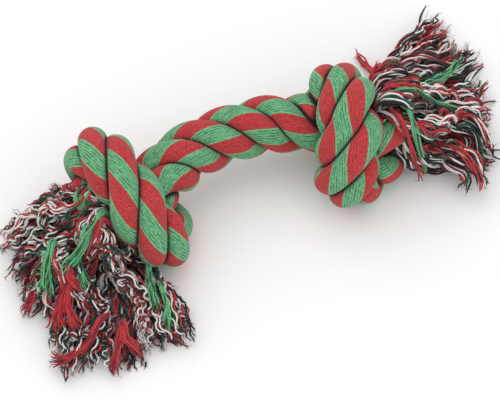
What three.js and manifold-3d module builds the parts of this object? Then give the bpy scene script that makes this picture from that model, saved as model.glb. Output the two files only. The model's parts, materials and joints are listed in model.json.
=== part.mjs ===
// A rope tug toy for dogs. One length of three-strand laid rope is tied in a tight overhand knot
// near each end, and beyond each knot every strand is combed out into locks of yarn, a tassel.
// Millimetres, +Z up. The toy lies on its two knots and its tassels, with its length along X.
import * as THREE from "three";
import Module from "manifold-3d";

// The rope.
const ROPE_DIAMETER = 25.4;
const STRAND_DIAMETER = 12.2;
const STRAND_COUNT = 3;
const LAY_LENGTH = 58;
const LAY_PHASE_DEG = -72;

// The knots. A tight knot presses the rope's passes this close, centre to centre.
const KNOT_PASS = 16.4;
const KNOT_STRAND_DIAMETER = 14;
const KNOT_SPAN = 104.8;
const KNOT_HEIGHT = 27;
const SPAN_BEARING_DEG = 19.3;
const KNOT_FACING_DEG = 60;

// The tassels.
const TASSEL_LENGTH = 88;
const TASSEL_RISE = 6;
const LOCKS_PER_STRAND = 6;
const LOCK_DIAMETER = 13;
const LOCK_ROOT_DIAMETER = 4.6;
const LOCK_TIP_DIAMETER = 7;
const LOCK_SPREAD = 16;
const LOCK_TAPER = 16;
const LOCK_WAVE = 4;
const LOCK_WAVE_LENGTH = 40;
const LOCK_TURN_DEG = 137.5;
const STRIP_DIAMETER = 5;
const ROOT_REACH = 8;

// Clearances, and how soft the yarn is: a squeezed chain keeps this share of its thickness.
const SEAT_GAP = 0.5;
const REST_CUT = 1.3;
const STRAND_CORE_SHARE = 0.92;
const LOCK_CORE_SHARE = 0.78;
const THINNEST_CORE_SHARE = 0.16;
const SELF_SPLIT_SHARE = 0.44;
const SELF_CLEAR_SHARE = 1.6;
const SELF_NEAR_SHARE = 1.4;
const DRAW_IN_SHARE = 0.9;

// Steps of the chains and of the surfaces over them.
const CHAIN_STEP = 2.2;
const LOCK_CHAIN_STEP = 2.8;
const STRAND_RING_STEP = 4.4;
const LOCK_RING_STEP = 5.6;
const STRIP_RING_STEP = 4.2;
const STATIONS_PER_RING = 4;
const STRAND_SIDES = 10;
const LOCK_SIDES = 7;
const STRIP_SIDES = 5;
const STRAND_ROUND_COUNT = 60;
const LOCK_ROUND_COUNT = 140;
const FALLING_ROUNDS_SHARE = 0.8;
const LOCK_SINK = 0.25;
const PUSH_SHARE = 0.7;
const DRAW_IN_ROUND_COUNT = 12;

// Half of an overhand knot pulled tight, from where the rope is about to go behind its own band to
// the middle of the band that crosses the knot's face: the place in shares of KNOT_PASS, then how
// full the rope is there. The other half is this one turned half a turn about the facing axis.
const HALF_KNOT_SHARES = [
  [-0.45, 0.3, 0, 0.7],
  [0.1, 0.45, -0.32, 0.55],
  [0.5, 0.25, -0.75, 0.6],
  [0.85, -0.25, -0.95, 0.75],
  [0.85, -0.85, -0.9, 0.8],
  [0.5, -1.3, -0.6, 0.8],
  [0.15, -1.45, -0.1, 0.8],
  [0, -1.25, 0.4, 0.85],
  [-0.05, -0.8, 0.75, 0.95],
  [0, -0.3, 0.87, 1],
];
// How each knot lies: its roll, its lay, how far it is drawn out along the rope, along its band
// and through its depth, how far its face and its back lean along the rope, and where its tail
// comes out.
const LEFT_KNOT = {
  rollDeg: 34,
  layLength: 66,
  drawnShares: [0.62, 1.15, 1],
  leanShares: [0.1, 0.1],
  tailShares: [
    [-1.2, 0.2, 0.1, 0.85],
    [-1.7, 0.15, 0.2, 0.95],
  ],
};
const RIGHT_KNOT = {
  rollDeg: 2,
  layLength: 48.5,
  drawnShares: [0.72, 0.9, 1],
  leanShares: [0.3, -0.5],
  tailShares: [
    [0.8, 0.1, 0.1, 0.85],
    [1.15, 0.45, 0.15, 0.95],
  ],
};
// The rope between the knots: places along the span and off it to the side, in shares of it.
const ARCH_SHARES = [
  [0.17, 0.08],
  [0.27, 0.12],
  [0.42, 0.16],
  [0.58, 0.172],
  [0.74, 0.16],
  [0.84, 0.125],
];
// How the tassels lie: the bearings that their locks fan over, and how long the locks are across
// the fan, in shares of TASSEL_LENGTH.
const LEFT_FAN = {
  fromDeg: 188,
  toDeg: 310,
  lengthShares: [0.42, 0.48, 0.6, 0.78, 0.88, 0.9, 0.82],
};
const RIGHT_FAN = {
  fromDeg: -2,
  toDeg: 60,
  lengthShares: [0.56, 0.6, 0.7, 0.78, 0.8, 0.8, 0.8],
};
// A lock leaves its strand's end, hangs from there over its neighbours and lies out to its tip.
const LOCK_HANG_SHARE = 0.45;
const LOCK_HEIGHT_SHARE = 0.6;
const ROOT_RING_SHARE = 0.7;

const COLOURS = {
  red: 0xb9323d,
  green: 0x489566,
  cream: 0xe8dfd3,
  charcoal: 0x2c2a2e,
};

const radians = THREE.MathUtils.degToRad;
const lerp = THREE.MathUtils.lerp;
const smoothstep = THREE.MathUtils.smoothstep;
const UP = new THREE.Vector3(0, 0, 1);
const ASIDE = new THREE.Vector3(0.3, 0.2, 1);

// The middle line of the rope

// A knot's axes: along the rope, along the band, and out of its face.
function knotBasis(rollDeg) {
  const facing = radians(KNOT_FACING_DEG);
  const up = new THREE.Vector3(0, Math.sin(facing), Math.cos(facing));
  const face = new THREE.Vector3(0, -Math.cos(facing), Math.sin(facing));
  const along = new THREE.Vector3(Math.cos(radians(rollDeg)), 0, 0);
  along.addScaledVector(up, Math.sin(radians(rollDeg)));
  return { along, band: face.clone().cross(along), face };
}

function knotPlace(centre, knot, [x, y, z, full]) {
  const basis = knotBasis(knot.rollDeg);
  const [drawnAlong, drawnBand, drawnDeep] = knot.drawnShares;
  const [faceLean, backLean] = knot.leanShares;
  const lean = z > 0 ? faceLean : backLean;
  const place = centre
    .clone()
    .addScaledVector(basis.along, (x * drawnAlong + z * lean) * KNOT_PASS)
    .addScaledVector(basis.band, y * drawnBand * KNOT_PASS)
    .addScaledVector(basis.face, z * drawnDeep * KNOT_PASS);
  return { place, full, strand: KNOT_STRAND_DIAMETER };
}

const turnedHalf = HALF_KNOT_SHARES.map(([x, y, z, full]) => [-x, -y, z, full]).reverse();
const wholeKnot = [...HALF_KNOT_SHARES, ...turnedHalf];
const span = new THREE.Vector3(KNOT_SPAN, 0, 0).applyAxisAngle(UP, radians(SPAN_BEARING_DEG));
const besideSpan = UP.clone().cross(span);
const leftCentre = span.clone().multiplyScalar(-1 / 2).setZ(KNOT_HEIGHT);
const rightCentre = span.clone().multiplyScalar(1 / 2).setZ(KNOT_HEIGHT);
const archRoute = ARCH_SHARES.map(([along, off]) => ({
  place: leftCentre.clone().addScaledVector(span, along).addScaledVector(besideSpan, off),
  full: 1,
  strand: STRAND_DIAMETER,
}));
const ropeRoute = [
  ...[...LEFT_KNOT.tailShares].reverse().map((row) => knotPlace(leftCentre, LEFT_KNOT, row)),
  ...wholeKnot.map((row) => knotPlace(leftCentre, LEFT_KNOT, row)),
  ...archRoute,
  ...wholeKnot.map((row) => knotPlace(rightCentre, RIGHT_KNOT, row)),
  ...RIGHT_KNOT.tailShares.map((row) => knotPlace(rightCentre, RIGHT_KNOT, row)),
];

// Even places along a smooth curve through the route, each with the rope's state there.
function evenly(route, step) {
  const places = route.map((r) => r.place);
  const curve = new THREE.CatmullRomCurve3(places, false, "centripetal");
  curve.arcLengthDivisions = 60 * route.length;
  const count = Math.round(curve.getLength() / step);
  return Array.from({ length: count + 1 }, (_, i) => {
    const t = curve.getUtoTmapping(i / count);
    const at = t * (route.length - 1);
    const low = Math.min(Math.floor(at), route.length - 2);
    const mix = (key) => lerp(route[low][key], route[low + 1][key], at - low);
    return { place: curve.getPoint(t), full: mix("full"), strand: mix("strand"), row: at };
  });
}

function directions(points) {
  const last = points.length - 1;
  return points.map((_, i) =>
    points[Math.min(i + 1, last)].clone().sub(points[Math.max(i - 1, 0)]).normalize(),
  );
}

// A side direction at each place that turns no more than the line itself does.
function sideways(travel, first) {
  const found = [first.clone().projectOnPlane(travel[0]).normalize()];
  for (let i = 1; i < travel.length; i++)
    found.push(found[i - 1].clone().projectOnPlane(travel[i]).normalize());
  return found;
}

const rope = evenly(ropeRoute, CHAIN_STEP);
const ropeTravel = directions(rope.map((r) => r.place));
const ropeSides = sideways(ropeTravel, UP);
const firstArchRow = LEFT_KNOT.tailShares.length + wholeKnot.length;
const lastArchRow = firstArchRow + ARCH_SHARES.length - 1;
const leftMouth = rope.findIndex((r) => r.row >= firstArchRow);
const rightMouth = rope.findIndex((r) => r.row >= lastArchRow);
const archTop = Math.round((leftMouth + rightMouth) / 2);

// How far the strands have turned about the rope's middle line at each place of it.
function layTurns() {
  const turns = [0];
  for (let i = 1; i < rope.length; i++) {
    const knotLay = i < archTop ? LEFT_KNOT.layLength : RIGHT_KNOT.layLength;
    const lay = i < leftMouth || i >= rightMouth ? knotLay : LAY_LENGTH;
    turns.push(turns[i - 1] + (2 * Math.PI * CHAIN_STEP) / lay);
  }
  return turns.map((turn) => turn - turns[archTop] + radians(LAY_PHASE_DEG));
}

// The chains that the strands and locks are laid out with

// One strand as a chain of places, laid right-handed round the rope's middle line.
function strandChain(index, turns) {
  const layRadius = (ROPE_DIAMETER - STRAND_DIAMETER) / 2;
  return {
    step: CHAIN_STEP,
    supple: 0.15,
    pinned: [],
    points: rope.map(({ place, full }, i) => {
      const turn = turns[i] + (2 * Math.PI * index) / STRAND_COUNT;
      const across = ropeTravel[i].clone().cross(ropeSides[i]);
      return place
        .clone()
        .addScaledVector(ropeSides[i], layRadius * full * Math.cos(turn))
        .addScaledVector(across, layRadius * full * Math.sin(turn));
    }),
    core: rope.map(({ full }) => (STRAND_CORE_SHARE * STRAND_DIAMETER * full) / 2),
    skin: rope.map(({ strand }) => strand / 2),
  };
}

// How thick a lock is at each of its places: thin at its root, tapered to its tip.
function lockRadii(count, most) {
  return Array.from({ length: count + 1 }, (_, i) => {
    const spread = smoothstep(i * LOCK_CHAIN_STEP, 0, LOCK_SPREAD);
    const taper = smoothstep((count - i) * LOCK_CHAIN_STEP, 0, LOCK_TAPER);
    const fromRoot = lerp(LOCK_ROOT_DIAMETER / 2, most, spread);
    const toTip = lerp(Math.min(LOCK_TIP_DIAMETER / 2, most), most, taper);
    return Math.min(fromRoot, toTip);
  });
}

// One lock of yarn as a chain, from its root on a strand's end out to its place in the fan.
function lockChain(lock, fan, share) {
  const bearing = radians(lerp(fan.fromDeg, fan.toDeg, share));
  const out = new THREE.Vector3(Math.cos(bearing), Math.sin(bearing), 0);
  const across = UP.clone().cross(out);
  const slot = share * (fan.lengthShares.length - 1);
  const low = Math.min(Math.floor(slot), fan.lengthShares.length - 2);
  const lengthShare = lerp(fan.lengthShares[low], fan.lengthShares[low + 1], slot - low);
  const bend = lock.root.clone().addScaledVector(lock.travel, TASSEL_RISE);
  const tip = bend.clone().addScaledVector(out, TASSEL_LENGTH * lengthShare);
  tip.setZ(LOCK_DIAMETER / 2);
  const hang = bend.clone().lerp(tip, LOCK_HANG_SHARE);
  hang.setZ(lerp(lock.root.z, LOCK_DIAMETER, LOCK_HEIGHT_SHARE));
  const curve = new THREE.CatmullRomCurve3([lock.root, bend, hang, tip], false, "centripetal");
  const count = Math.round(curve.getLength() / LOCK_CHAIN_STEP);
  const points = curve.getSpacedPoints(count);
  points.forEach((point, i) => {
    const fromRoot = i * LOCK_CHAIN_STEP;
    const phase = (2 * Math.PI * fromRoot) / LOCK_WAVE_LENGTH;
    const wave = LOCK_WAVE * smoothstep(fromRoot, 0, LOCK_SPREAD);
    point.addScaledVector(across, wave * Math.sin(phase + lock.number * radians(LOCK_TURN_DEG)));
  });
  const skin = lockRadii(count, (lock.strip ? STRIP_DIAMETER : LOCK_DIAMETER) / 2);
  return {
    ...lock,
    step: LOCK_CHAIN_STEP,
    supple: 0.3,
    pinned: points.slice(0, 2).map((p) => p.clone()),
    points,
    skin,
    core: skin.map((r) => LOCK_CORE_SHARE * r),
  };
}

// The roots on one strand's end: four locks of core yarn, and a strip of the red and of the green
// cover yarn between them.
function lockRoots(strand, strandNumber, side) {
  const end = side === "left" ? 0 : strand.points.length - 1;
  const travel = directions(strand.points)[end].multiplyScalar(side === "left" ? -1 : 1);
  const first = UP.clone().projectOnPlane(travel).normalize();
  const second = travel.clone().cross(first);
  const ring = (ROOT_RING_SHARE * (STRAND_DIAMETER - LOCK_ROOT_DIAMETER)) / 2;
  const kinds = ["lock", "red_strip", "lock", "lock", "green_strip", "lock"];
  return kinds.map((kind, k) => {
    const turn = (2 * Math.PI * k) / LOCKS_PER_STRAND;
    const before = kinds.slice(0, k).filter((other) => other === kind).length;
    const perStrand = kinds.filter((other) => other === kind).length;
    return {
      name: `${side}_${kind}_${strandNumber * perStrand + before + 1}`,
      number: strandNumber * LOCKS_PER_STRAND + k,
      strip: kind !== "lock",
      colour: kind === "lock" ? (k % 2 ? "charcoal" : "cream") : kind.split("_")[0],
      parent: strand,
      parentAt: end * strand.step,
      travel,
      root: strand.points[end]
        .clone()
        .addScaledVector(travel, SEAT_GAP)
        .addScaledVector(first, ring * Math.cos(turn))
        .addScaledVector(second, ring * Math.sin(turn)),
    };
  });
}

// The locks of one tassel, spread over the fan by where their roots stand, so that they part
// without crossing.
function tassel(side, fan) {
  const roots = strands.flatMap((strand, s) => lockRoots(strand, s, side));
  const middle = radians((fan.fromDeg + fan.toDeg) / 2);
  const across = new THREE.Vector3(-Math.sin(middle), Math.cos(middle), 0);
  roots.sort((a, b) => a.root.dot(across) - b.root.dot(across));
  return roots.map((lock, i) => lockChain(lock, fan, i / (roots.length - 1)));
}

// Whether a place on a lock and one on a strand are so near the lock's root that they meet there.
function joined(lock, lockAt, strand, strandAt) {
  if (lock.parent !== strand || lockAt > ROOT_REACH) return false;
  return Math.abs(strandAt - lock.parentAt) < ROOT_REACH;
}

// Lets a chain that hangs from its first two places sink, at its full length.
function fall({ points, step }, sink) {
  for (let i = 2; i < points.length; i++) {
    points[i].z -= sink;
    const link = points[i].clone().sub(points[i - 1]).setLength(step);
    points[i].copy(points[i - 1]).add(link);
  }
}

// Draws each place of a chain towards the middle of its neighbours.
function smooth({ points }, share) {
  const before = points.map((p) => p.clone());
  for (let i = 1; i < points.length - 1; i++) {
    const even = before[i - 1].clone().add(before[i + 1]).multiplyScalar(1 / 2);
    points[i].lerp(even, share);
  }
}

// Pushes soft chains apart until none is squeezed below its core, keeps them smooth and off the
// floor, and lets those that hang free sink under their weight. What is held stays put.
function settle(loose, held, rounds, sink) {
  const beads = [...loose, ...held].flatMap((chain) =>
    chain.points.map((point, i) => ({ point, chain, at: i * chain.step, core: chain.core[i] })),
  );
  const free = loose.reduce((sum, chain) => sum + chain.points.length, 0);
  const offset = new THREE.Vector3();
  for (let round = 0; round < rounds; round++) {
    for (const chain of loose) {
      smooth(chain, chain.supple * (1 - (round + 1) / rounds));
      if (sink && round < FALLING_ROUNDS_SHARE * rounds) fall(chain, sink);
    }
    for (let a = 0; a < free; a++)
      for (let b = a + 1; b < beads.length; b++) {
        const one = beads[a];
        const two = beads[b];
        const apart = one.core + two.core;
        if (Math.abs(one.point.x - two.point.x) > apart) continue;
        if (Math.abs(one.point.y - two.point.y) > apart) continue;
        if (one.chain === two.chain && two.at - one.at < SELF_CLEAR_SHARE * apart) continue;
        if (joined(one.chain, one.at, two.chain, two.at)) continue;
        offset.subVectors(two.point, one.point);
        const gap = offset.length();
        if (gap >= apart || gap === 0) continue;
        const push = (PUSH_SHARE * (apart - gap)) / gap;
        one.point.addScaledVector(offset, b < free ? -push / 2 : -push);
        if (b < free) two.point.addScaledVector(offset, push / 2);
      }
    for (const { points, skin, pinned } of loose) {
      points.forEach((p, i) => p.setZ(Math.max(p.z, skin[i] - REST_CUT)));
      pinned.forEach((p, i) => points[i].copy(p));
    }
  }
}

// The surfaces over the chains

// How far a chain's skin can swell from a place in a direction before it meets a neighbour:
// the surface between two chains splits the space between them in proportion to their cores.
function reach(chain, place, core, distance, direction, most) {
  let least = most;
  const offset = new THREE.Vector3();
  for (const other of chains) {
    const own = other === chain;
    for (let i = 0; i < other.points.length; i++) {
      const at = i * other.step;
      if (own && Math.abs(at - distance) < SELF_NEAR_SHARE * core) continue;
      if (joined(chain, distance, other, at) || joined(other, at, chain, distance)) continue;
      offset.subVectors(other.points[i], place);
      const facing = offset.dot(direction);
      if (facing <= 0) continue;
      const share = own ? SELF_SPLIT_SHARE : core / (core + other.core[i]);
      least = Math.min(least, (share * offset.lengthSq()) / facing - SEAT_GAP / 2);
    }
  }
  return Math.max(least, THINNEST_CORE_SHARE * core);
}

// The rings of one piece of a chain, between two of its places, each spoke no longer than the skin
// can swell anywhere near it.
function ringsOf(chain, from, to, ringStep, sides) {
  const travel = directions(chain.points);
  const side = sideways(travel, ASIDE);
  const station = (at) => {
    const low = Math.min(Math.floor(at), chain.points.length - 2);
    const centre = chain.points[low].clone().lerp(chain.points[low + 1], at - low);
    const tangent = travel[low].clone().lerp(travel[low + 1], at - low).normalize();
    const u = side[low].clone().projectOnPlane(tangent).normalize();
    const v = tangent.clone().cross(u);
    return Array.from({ length: sides }, (_, k) => {
      const turn = (2 * Math.PI * k) / sides;
      const out = u.clone().multiplyScalar(Math.cos(turn)).addScaledVector(v, Math.sin(turn));
      const most = chain.skin[low];
      return { centre, out, swell: reach(chain, centre, chain.core[low], at * chain.step, out, most) };
    });
  };
  const ringCount = Math.max(2, Math.round(((to - from) * chain.step) / ringStep));
  const count = STATIONS_PER_RING * ringCount;
  const stations = Array.from({ length: count + 1 }, (_, i) => station(lerp(from, to, i / count)));
  return Array.from({ length: ringCount + 1 }, (_, r) => {
    const i = r * STATIONS_PER_RING;
    const near = stations.slice(Math.max(0, i - STATIONS_PER_RING + 1), i + STATIONS_PER_RING);
    return stations[i].map(({ centre, out }, k) => ({
      centre,
      out,
      swell: Math.min(...near.map((spokes) => spokes[k].swell)),
    }));
  });
}

// Joins the rings into one closed surface with flat ends, cut flat where it rests on the floor.
function closedTube(rings) {
  const sides = rings[0].length;
  const positions = rings.flat().map(({ centre, out, swell }) => {
    const point = centre.clone().addScaledVector(out, swell);
    return point.setZ(Math.max(point.z, 0));
  });
  const faces = [];
  for (let r = 0; r < rings.length - 1; r++)
    for (let k = 0; k < sides; k++) {
      const a = r * sides + k;
      const b = r * sides + ((k + 1) % sides);
      faces.push(a, b, b + sides, a, b + sides, a + sides);
    }
  const last = (rings.length - 1) * sides;
  for (let k = 1; k < sides - 1; k++) faces.push(0, k + 1, k, last, last + k, last + k + 1);
  const geometry = new THREE.BufferGeometry().setFromPoints(positions);
  geometry.setIndex(faces);
  return geometry;
}

const wasm = await Module();
wasm.setup();

function solidOf(geometry) {
  const vertProperties = new Float32Array(geometry.getAttribute("position").array);
  const triVerts = new Uint32Array(geometry.index.array);
  return new wasm.Manifold(new wasm.Mesh({ numProp: 3, vertProperties, triVerts }));
}

// Draws in the skins of two pieces wherever they still meet, until no two do.
function drawIn(pieces) {
  for (let round = 0; round < DRAW_IN_ROUND_COUNT; round++) {
    const solids = pieces.map((piece) => solidOf(closedTube(piece.rings)));
    const boxes = solids.map((solid) => {
      const { min, max } = solid.boundingBox();
      return new THREE.Box3(new THREE.Vector3(...min), new THREE.Vector3(...max));
    });
    let met = false;
    for (let a = 0; a < pieces.length; a++)
      for (let b = a + 1; b < pieces.length; b++) {
        if (!boxes[a].intersectsBox(boxes[b])) continue;
        const common = solids[a].intersect(solids[b]);
        if (common.isEmpty()) continue;
        met = true;
        const { min, max } = common.boundingBox();
        const spot = new THREE.Box3(new THREE.Vector3(...min), new THREE.Vector3(...max));
        spot.expandByScalar(LOCK_RING_STEP);
        for (const spoke of [...pieces[a].rings, ...pieces[b].rings].flat()) {
          const point = spoke.centre.clone().addScaledVector(spoke.out, spoke.swell);
          if (spot.containsPoint(point)) spoke.swell *= DRAW_IN_SHARE;
        }
      }
    if (!met) return;
  }
}

// The toy

const turns = layTurns();
const strands = Array.from({ length: STRAND_COUNT }, (_, i) => strandChain(i, turns));
settle(strands, [], STRAND_ROUND_COUNT, 0);
const tassels = [tassel("left", LEFT_FAN), tassel("right", RIGHT_FAN)];
for (const locks of tassels) settle(locks, strands, LOCK_ROUND_COUNT, LOCK_SINK);
const chains = [...strands, ...tassels.flat()];

// Each strand is four pieces, parted where the rope bends: at both knots' mouths and in between.
function strandPieces(strand, index) {
  const cuts = [0, leftMouth, archTop, rightMouth, strand.points.length - 1];
  const gap = SEAT_GAP / strand.step / 2;
  return ["left_knot", "middle_left", "middle_right", "right_knot"].map((stretch, i) => {
    const from = i === 0 ? cuts[i] : cuts[i] + gap;
    const to = i === 3 ? cuts[i + 1] : cuts[i + 1] - gap;
    return {
      name: `strand_${index + 1}_${stretch}`,
      colour: (index + i) % 2 ? "green" : "red",
      rings: ringsOf(strand, from, to, STRAND_RING_STEP, STRAND_SIDES),
    };
  });
}

function lockPiece(lock) {
  const ringStep = lock.strip ? STRIP_RING_STEP : LOCK_RING_STEP;
  const sides = lock.strip ? STRIP_SIDES : LOCK_SIDES;
  return {
    name: lock.name,
    colour: lock.colour,
    rings: ringsOf(lock, 0, lock.points.length - 1, ringStep, sides),
  };
}

function pieceMesh({ name, colour, rings }) {
  const geometry = closedTube(rings);
  geometry.computeVertexNormals();
  const material = new THREE.MeshStandardMaterial({
    color: COLOURS[colour],
    roughness: 0.9,
    metalness: 0,
  });
  const mesh = new THREE.Mesh(geometry, material);
  mesh.name = name;
  return mesh;
}

const pieces = [...strands.flatMap(strandPieces), ...tassels.flat().map(lockPiece)];
drawIn(pieces);
const lying = new THREE.Group();
lying.add(...pieces.map(pieceMesh));
const middle = new THREE.Box3().setFromObject(lying).getCenter(new THREE.Vector3());
lying.position.set(-middle.x, -middle.y, 0);
const toy = new THREE.Group();
toy.add(lying);

export default toy;
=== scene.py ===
import json
import math

import bpy
import numpy as np
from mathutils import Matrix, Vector
from mathutils.kdtree import KDTree


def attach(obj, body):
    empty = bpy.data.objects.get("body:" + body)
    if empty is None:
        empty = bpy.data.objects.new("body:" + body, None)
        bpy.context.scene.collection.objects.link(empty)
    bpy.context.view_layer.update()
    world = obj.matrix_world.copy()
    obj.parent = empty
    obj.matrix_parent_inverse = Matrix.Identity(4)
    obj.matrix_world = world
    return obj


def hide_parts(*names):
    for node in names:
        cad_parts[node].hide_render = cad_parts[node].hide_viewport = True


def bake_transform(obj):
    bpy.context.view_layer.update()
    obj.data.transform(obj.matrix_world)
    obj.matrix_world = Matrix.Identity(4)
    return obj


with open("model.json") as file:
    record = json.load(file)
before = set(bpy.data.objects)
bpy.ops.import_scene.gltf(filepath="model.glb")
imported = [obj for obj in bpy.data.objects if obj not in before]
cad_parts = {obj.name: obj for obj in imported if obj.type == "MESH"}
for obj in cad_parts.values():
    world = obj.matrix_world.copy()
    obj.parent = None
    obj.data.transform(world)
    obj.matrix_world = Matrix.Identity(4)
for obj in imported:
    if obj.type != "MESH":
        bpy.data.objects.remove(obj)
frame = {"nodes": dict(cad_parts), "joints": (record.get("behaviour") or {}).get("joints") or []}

MM = 0.001
GOLDEN_ANGLE = math.radians(137.5)
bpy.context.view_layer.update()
rng = np.random.default_rng(22)

# The camera: where the photograph looks from, the point it looks at, and its frame's width there.
VIEW_ELEVATION_DEG = 60
VIEW_TARGET_MM = (0.3, -8.5, 20)
VIEW_WIDTH_MM = 235
VIEW_DISTANCE_MM = 2600
SENSOR_MM = 36
SIGHT_LIMIT_M = 100

# The set: how far the paper floor goes and how its grain looks, the light from all round, and each
# soft light's place and width in metres and its power in watts.
FLOOR_REACH_M = 6
PAPER_GRAIN = 40
PAPER_GRAIN_RANGE = (0.3, 0.7)
PAPER_TINTS = ((0.93, 0.93, 0.93), (0.95, 0.95, 0.95))
PAPER_ROUGHNESS = 0.95
ROOM_LIGHT = 0.85
SOFT_LIGHTS = {"key": ((-0.3, 0.3, 1.2), 1.4, 5), "fill": ((0.7, -0.7, 0.9), 1.4, 2)}

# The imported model's tubes: how finely their places are told apart, in steps to a millimetre, and
# how many neighbours a place in a tube's wall has.
WELD_STEPS = 1000
WALL_NEIGHBOURS = 6

# Lines: how many spreads a smoothing looks to either side, the steps between two points of a curve
# and the fewest places on it, and the way that a line's first side is nearest to.
SMOOTHING_REACH = 3
CURVE_STEPS = 12
FEWEST_PLACES = 6
FIRST_SIDE = (0.3, 0.2, 1)

# The rope's strands, in millimetres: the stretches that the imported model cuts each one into, how
# finely its middle line is worked out from them, and how far its surface reaches from that line
# where nothing presses on it, in the middle of the rope and, past an easing, in the knots.
STRETCHES = ("left_knot", "middle_left", "middle_right", "right_knot")
STRAND_SIDES = 10
STRAND_STEP = 0.8
STRAND_SMOOTHING = 2.5
CORE_SMOOTHING = 5
MIDDLE_REACH = 6.8
KNOT_REACH = 7.1
MOUTH_EASE = 14

# Where strands press on each other: in how many directions a strand's surface is worked out, how
# near another strand's line counts, how far along its own line a strand counts as another, the
# gap that is left between two surfaces, and how softly and how far at least they reach.
SPOKES = 48
NEAR = 17
SELF_NEAR = 8
SELF_SHARE = 0.46
LEAST_FACING = 0.05
CONTACT_GAP = 0.1
PRESS_SMOOTHING = 1.5
PRESS_SLACK = 0.25
LEAST_REACH = 1.2

# A crease between strands is darkened with painted shade: the shares of its reach that a surface
# is pressed in by, from where the painted shade starts to where it is darkest, and how dark it
# gets.
PAINTED_CREASE_SHARES = (0.005, 0.06)
PAINTED_CREASE_SHADE = 0.96

# A strand's cover: yarns wound round it left-handed, in bands that are red and green by turns,
# ragged at its ends and kept off the floor.
LEAST_HEIGHT = 0.05
COVER_YARNS = 28
COVER_BANDS = 4
YARN_FACETS = 4
YARN_RELIEF = 0.1
RAGGED_END = 2.2
COVER_SMOOTHING = 5
# How far the cover goes along a strand in one turn: in the left knot, up to the arch, down from it
# and in the right knot. And where each strand's cover starts.
COVER_LEADS = (50, 46, 46, 48)
COVER_STARTS_DEG = (50, 170, 115)

# The joints: points at distances from a knot's mouth, so far to either side of the arch, whose
# piece goes a little further, and from a tassel's root on. The rope's ways there are taken from
# its line between the knots.
BEND_START = 5
BEND_END = 21
ARCH_BEND = 11
ARCH_OVERHANG = 3
TASSEL_BEND = 20
ROPE_LINE_PLACES = 60

# Any loose yarn, in millimetres. Its thickness and tone are drawn from a range, as shares of the
# usual ones, it thins over the last places of its line, and its texture starts anywhere.
YARN_STEP = 1.1
YARN_RADIUS = 0.44
YARN_SIDES = 5
YARN_THICKNESSES = (0.85, 1.15)
YARN_TONES = (0.85, 1.15)
YARN_TAPER = 0.4
YARN_END_PLACES = 4
TEXTURE_SHIFT = 20

# How a yarn strays from its line: how often it turns on its way, how much the turns are rounded
# off, and how soon it leaves the line.
WANDER_TURNS = 5
WANDER_ROUNDING = 3
WANDER_GROWTH = 0.7

# A yarn's frayed end: fibres that start a little way back, spread from the yarn's way and curl.
FRAY_FIBRES = 3
FRAY_LENGTH = 2.4
FRAY_LENGTHS = (0.4, 1.3)
FRAY_RADIUS = 0.17
FRAY_TIP_SHARE = 0.35
FRAY_TONES = (0.85, 1.1)
FRAY_PLACES = 6
FRAY_SIDES = 3
FRAY_SEAT = 0.8
FRAY_SPREAD = 0.45
FRAY_CURL = 0.35
FRAY_CURL_HALF_TURNS = 1.5

# The tassels' locks: how many in a row share a mix of colours, how far their lines go on past the
# packed ones, and how wide each opens towards its tip, as a share of its widest place there.
LOCK_COUNT = 12
LOCKS_PER_MIX = 2
LOCK_SIDES = 7
LOCK_SMOOTHING = 2
LOCK_OVERRUN = {"left": 1, "right": 3}
TIP_START_SHARE = 0.35
TIP_WIDTH_SHARE = {"left": 1.6, "right": 1.7}

# The yarns of a lock lie in plies. They start a little way back in the knot and loosen between two
# distances from the root, the plies wind a little round the lock, and some yarns are shorter.
PLIES_PER_LOCK = 9
YARNS_PER_PLY = 7
PLY_SEAT_SHARE = 0.8
PLY_SPREAD = 1.5
PLY_ROOT_SHARE = 0.4
LOOSENING = (2, 14)
LOCK_TWISTS = (0.3, 1.2)
LOCK_TWIST_LENGTH = 60
ROOT_DEPTH = 3
SHORTEST_YARN_SHARE = 0.84

# How each tassel's yarns are crimped: the size and the length of a crimp, how much it differs from
# yarn to yarn, how far a yarn strays on its way, how far its ply goes in one turn, and how many
# curls each lock throws aside.
CRIMPS = {
    "left": {
        "size": 1.3,
        "length": 7.5,
        "disorder": 0.6,
        "drift": 3,
        "ply_lead": 60,
        "curls": 2,
    },
    "right": {
        "size": 1.4,
        "length": 15,
        "disorder": 0.25,
        "drift": 1.8,
        "ply_lead": 30,
        "curls": 0,
    },
}
PLY_CRIMP_SIZES = (0.7, 1.3)
PLY_CRIMP_LENGTHS = (0.8, 1.25)
YARN_CRIMP_SIZES = (0.8, 1.2)
YARN_CRIMP_LENGTHS = (0.97, 1.03)
CROSS_CRIMP = 0.35
AXIAL_CRIMP = 0.3
YARN_DRIFT_SHARE = 0.25
YARN_DRIFT_TURNS = 9

# Painted shade deep in a lock: how light a yarn is painted where it lies deep in it, and the
# heights over the lock's middle, as shares of how far its yarns reach, between which it comes to
# its full light.
DEEP_PAINTED_SHADE = 0.35
DEEP_PAINTED_SHADE_HEIGHTS = (-0.9, 0.3)

# Tufts of yarns side by side, over the locks and the strands' ends: a strip is a few tufts, and a
# curl is one. They are lifted clear of what they lie on, dip at the root and fan out at the tip.
CURL_YARNS = 13
STRIP_YARNS = {"left": 20, "right": 11}
CURL_CLEARANCE = 2
STRIP_CLEARANCE = {"left": 5, "right": 2.5}
DRAPE_SMOOTHING = 4
ROOT_DIP = 8
ROOT_DIP_LENGTH = 9
TUFT_ROOT_SHARE = 0.65
TUFT_FAN_SHARE = 0.8
TUFT_FAN_START = 0.6
TUFT_FLATNESS = 0.6
TUFT_DRIFT = 0.9
SHORTEST_TUFT_SHARE = 0.85
TUFT_CRIMP_LENGTH = 8
CURL_CRIMP = 1.1
STRIP_CRIMP = 0.25

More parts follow.
